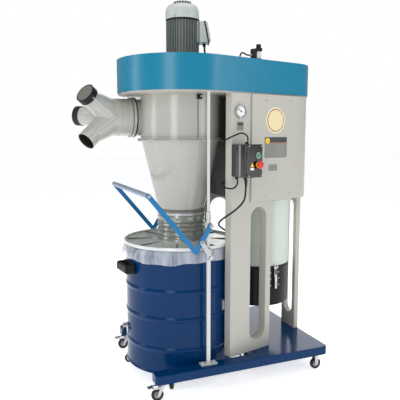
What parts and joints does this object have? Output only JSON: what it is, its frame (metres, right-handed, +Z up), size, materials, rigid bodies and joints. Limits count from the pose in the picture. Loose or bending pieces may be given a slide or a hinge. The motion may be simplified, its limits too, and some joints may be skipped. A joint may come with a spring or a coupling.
{
  "type": "cyclone dust collector",
  "caption": "Mobile cyclone dust collector: motor and fan on top, cyclone over a roll-out drum with a lever-lifted lid, filter with dust pan, all on a fork-shaped wheeled base.",
  "frame": {"origin": "middle of the machine's overall plan, on the floor (cord, coil and plug left out)", "axes": "+Z up, +X from the drum end towards the filter end, -Y is the front with the switch box"},
  "size_m": [1.3464, 0.8436, 2.052],
  "materials": {
    "navy_paint": "gloss",
    "teal_paint": "gloss",
    "grey_paint": "satin",
    "cyclone_grey": "satin",
    "lever_blue": "gloss",
    "motor_grey": "satin",
    "cowl_grey": "satin",
    "steel": "brushed",
    "zinc": "satin",
    "black_plastic": "gloss",
    "black_matte": "matte",
    "rubber": "matte",
    "clear_bag": "satin",
    "hose": "satin",
    "filter_media": "matte",
    "plate_cream": "satin",
    "green_plastic": "gloss",
    "red_plastic": "gloss",
    "impeller_steel": "satin"
  },
  "bodies": {
    "root": {"air_regulator": "black_matte", "base_frame": "navy_paint", "control_box": "black_plastic", "cyclone_barrel": "cyclone_grey", "cyclone_cone": "cyclone_grey", "fan_housing": "teal_paint", "filter_cartridge": "filter_media", "filter_enclosure": "grey_paint", "fixed_cables": "black_matte", "fixed_caster_forks": "zinc", "flex_hose": "hose", "front_plates": "plate_cream", "gauge_body": "black_matte", "guide_posts": "steel", "housing_bottom_plate": "grey_paint", "housing_top_plate": "teal_paint", "inlet_wye": "cyclone_grey", "junction_box": "motor_grey", "latch_brackets": "zinc", "machine_bolts": "zinc", "mains_coil": "rubber", "mains_cord": "rubber", "mains_plug": "black_matte", "motor_body": "motor_grey", "motor_fan_cowl": "cowl_grey", "right_leg": "grey_paint", "side_columns": "grey_paint"},
    "base_swivel_front_left": {"base_caster_fork_front_left": "zinc"},
    "base_wheel_front_left": {"base_caster_wheel_front_left": "rubber"},
    "pedal_front_left": {"brake_pedal_front_left": "zinc"},
    "base_swivel_rear_left": {"base_caster_fork_rear_left": "zinc"},
    "base_wheel_rear_left": {"base_caster_wheel_rear_left": "rubber"},
    "pedal_rear_left": {"brake_pedal_rear_left": "zinc"},
    "base_wheel_front_right": {"base_caster_wheel_front_right": "rubber"},
    "base_wheel_rear_right": {"base_caster_wheel_rear_right": "rubber"},
    "drum": {"drum_shell": "navy_paint", "bag_skirt": "clear_bag", "drum_handles": "black_matte"},
    "drum_swivel_front_right": {"drum_caster_fork_front_right": "zinc"},
    "drum_wheel_front_right": {"drum_caster_wheel_front_right": "rubber"},
    "drum_swivel_rear_right": {"drum_caster_fork_rear_right": "zinc"},
    "drum_wheel_rear_right": {"drum_caster_wheel_rear_right": "rubber"},
    "drum_swivel_rear_left": {"drum_caster_fork_rear_left": "zinc"},
    "drum_wheel_rear_left": {"drum_caster_wheel_rear_left": "rubber"},
    "drum_swivel_front_left": {"drum_caster_fork_front_left": "zinc"},
    "drum_wheel_front_left": {"drum_caster_wheel_front_left": "rubber"},
    "rotor": {"motor_shaft": "steel", "impeller": "impeller_steel"},
    "cap_upper": {"port_cap_upper": "black_matte"},
    "cap_rear": {"port_cap_rear": "black_matte"},
    "start_button": {"start_button": "green_plastic"},
    "stop_button": {"stop_button": "red_plastic"},
    "needle": {"gauge_needle": "red_plastic"},
    "knob": {"regulator_knob": "black_matte"},
    "lever": {"lift_lever": "lever_blue"},
    "links": {"lever_links": "zinc"},
    "lid": {"drum_lid": "cyclone_grey"},
    "filter_pan": {"filter_pan": "black_plastic"},
    "latch_front": {"pan_latch_front": "zinc"},
    "latch_rear": {"pan_latch_rear": "zinc"}
  },
  "joints": [
    {"name": "base_swivel_front_left", "type": "hinge", "parent": "root", "child": "base_swivel_front_left", "pos_m": [-0.3478, -0.3222, 0.09], "axis": [0, 0, 1], "continuous": true},
    {"name": "base_wheel_spin_front_left", "type": "hinge", "parent": "base_swivel_front_left", "child": "base_wheel_front_left", "pos_m": [-0.3778, -0.3222, 0.0315], "axis": [0, 1, 0], "continuous": true},
    {"name": "brake_pedal_front_left", "type": "hinge", "parent": "base_swivel_front_left", "child": "pedal_front_left", "pos_m": [-0.3618, -0.3222, 0.072], "axis": [0, 1, 0], "range_deg": [-13, 0]},
    {"name": "base_swivel_rear_left", "type": "hinge", "parent": "root", "child": "base_swivel_rear_left", "pos_m": [-0.3478, 0.3858, 0.09], "axis": [0, 0, 1], "continuous": true},
    {"name": "base_wheel_spin_rear_left", "type": "hinge", "parent": "base_swivel_rear_left", "child": "base_wheel_rear_left", "pos_m": [-0.3778, 0.3858, 0.0315], "axis": [0, 1, 0], "continuous": true},
    {"name": "brake_pedal_rear_left", "type": "hinge", "parent": "base_swivel_rear_left", "child": "pedal_rear_left", "pos_m": [-0.3618, 0.3858, 0.072], "axis": [0, 1, 0], "range_deg": [-13, 0]},
    {"name": "base_wheel_spin_front_right", "type": "hinge", "parent": "root", "child": "base_wheel_front_right", "pos_m": [0.5772, -0.3182, 0.0315], "axis": [0, 1, 0], "continuous": true},
    {"name": "base_wheel_spin_rear_right", "type": "hinge", "parent": "root", "child": "base_wheel_rear_right", "pos_m": [0.5772, 0.3818, 0.0315], "axis": [0, 1, 0], "continuous": true},
    {"name": "drum_roll_out", "type": "slide", "parent": "root", "child": "drum", "axis": [-1, 0, 0], "range_m": [0, 0.75]},
    {"name": "drum_swivel_front_right", "type": "hinge", "parent": "drum", "child": "drum_swivel_front_right", "pos_m": [0.11766, -0.09871, 0.066], "axis": [0, 0, 1], "continuous": true},
    {"name": "drum_wheel_spin_front_right", "type": "hinge", "parent": "drum_swivel_front_right", "child": "drum_wheel_front_right", "pos_m": [0.13973, -0.11045, 0.025], "axis": [0.4695, 0.8829, 0], "continuous": true},
    {"name": "drum_swivel_rear_right", "type": "hinge", "parent": "drum", "child": "drum_swivel_rear_right", "pos_m": [0.00271, 0.27726, 0.066], "axis": [0, 0, 1], "continuous": true},
    {"name": "drum_wheel_spin_rear_right", "type": "hinge", "parent": "drum_swivel_rear_right", "child": "drum_wheel_rear_right", "pos_m": [0.01445, 0.29933, 0.025], "axis": [-0.8829, 0.4695, 0], "continuous": true},
    {"name": "drum_swivel_rear_left", "type": "hinge", "parent": "drum", "child": "drum_swivel_rear_left", "pos_m": [-0.37326, 0.16231, 0.066], "axis": [0, 0, 1], "continuous": true},
    {"name": "drum_wheel_spin_rear_left", "type": "hinge", "parent": "drum_swivel_rear_left", "child": "drum_wheel_rear_left", "pos_m": [-0.39533, 0.17405, 0.025], "axis": [-0.4695, -0.8829, 0], "continuous": true},
    {"name": "drum_swivel_front_left", "type": "hinge", "parent": "drum", "child": "drum_swivel_front_left", "pos_m": [-0.25831, -0.21366, 0.066], "axis": [0, 0, 1], "continuous": true},
    {"name": "drum_wheel_spin_front_left", "type": "hinge", "parent": "drum_swivel_front_left", "child": "drum_wheel_front_left", "pos_m": [-0.27005, -0.23573, 0.025], "axis": [0.8829, -0.4695, 0], "continuous": true},
    {"name": "fan_spin", "type": "hinge", "parent": "root", "child": "rotor", "pos_m": [-0.1008, 0.0318, 1.7], "axis": [0, 0, 1], "continuous": true},
    {"name": "cap_pull_upper", "type": "slide", "parent": "root", "child": "cap_upper", "axis": [-0.7071, -0.4353, 0.5572], "range_m": [0, 0.06]},
    {"name": "cap_pull_rear", "type": "slide", "parent": "root", "child": "cap_rear", "axis": [-0.7071, 0.7054, 0.0493], "range_m": [0, 0.06]},
    {"name": "start_press", "type": "slide", "parent": "root", "child": "start_button", "axis": [-0.2394, 0.9709, 0], "range_m": [0, 0.004], "stiffness_N_per_m": 800, "springref_m": -0.002},
    {"name": "stop_press", "type": "slide", "parent": "root", "child": "stop_button", "axis": [-0.2394, 0.9709, 0], "range_m": [0, 0.005], "stiffness_N_per_m": 800, "springref_m": -0.002},
    {"name": "gauge_needle", "type": "hinge", "parent": "root", "child": "needle", "pos_m": [0.10227, -0.28492, 1.459], "axis": [0.2394, -0.9709, 0], "range_deg": [0, 150]},
    {"name": "regulator_turn", "type": "hinge", "parent": "root", "child": "knob", "pos_m": [0.2492, -0.1902, 1.8], "axis": [0, 0, 1], "range_deg": [-270, 270]},
    {"name": "lid_lever", "type": "hinge", "parent": "root", "child": "lever", "pos_m": [-0.0868, 0.0318, 0.881], "axis": [0, 1, 0], "range_deg": [0, 14]},
    {"name": "link_swing", "type": "hinge", "parent": "lever", "child": "links", "pos_m": [-0.1378, 0.0318, 0.7985], "axis": [0, 1, 0], "range_deg": [-28.5, 0]},
    {"name": "lid_lift", "type": "slide", "parent": "root", "child": "lid", "axis": [0, 0, 1], "range_m": [0, 0.029], "deforming": ["flex_hose"]},
    {"name": "pan_lower", "type": "slide", "parent": "root", "child": "filter_pan", "axis": [0, 0, -1], "range_m": [0, 0.18]},
    {"name": "pan_latch_front", "type": "hinge", "parent": "root", "child": "latch_front", "pos_m": [0.39546, -0.16545, 0.58], "axis": [-0.9962, -0.0872, 0], "range_deg": [0, 110]},
    {"name": "pan_latch_rear", "type": "hinge", "parent": "root", "child": "latch_rear", "pos_m": [0.36094, 0.22905, 0.58], "axis": [0.9962, 0.0872, 0], "range_deg": [0, 110]}
  ],
  "couplings": [
    {"joint": "lid_lift", "follows": "lid_lever", "m_per_rad": 0.11828},
    {"joint": "link_swing", "follows": "lid_lever", "ratio": -2.0214}
  ]
}
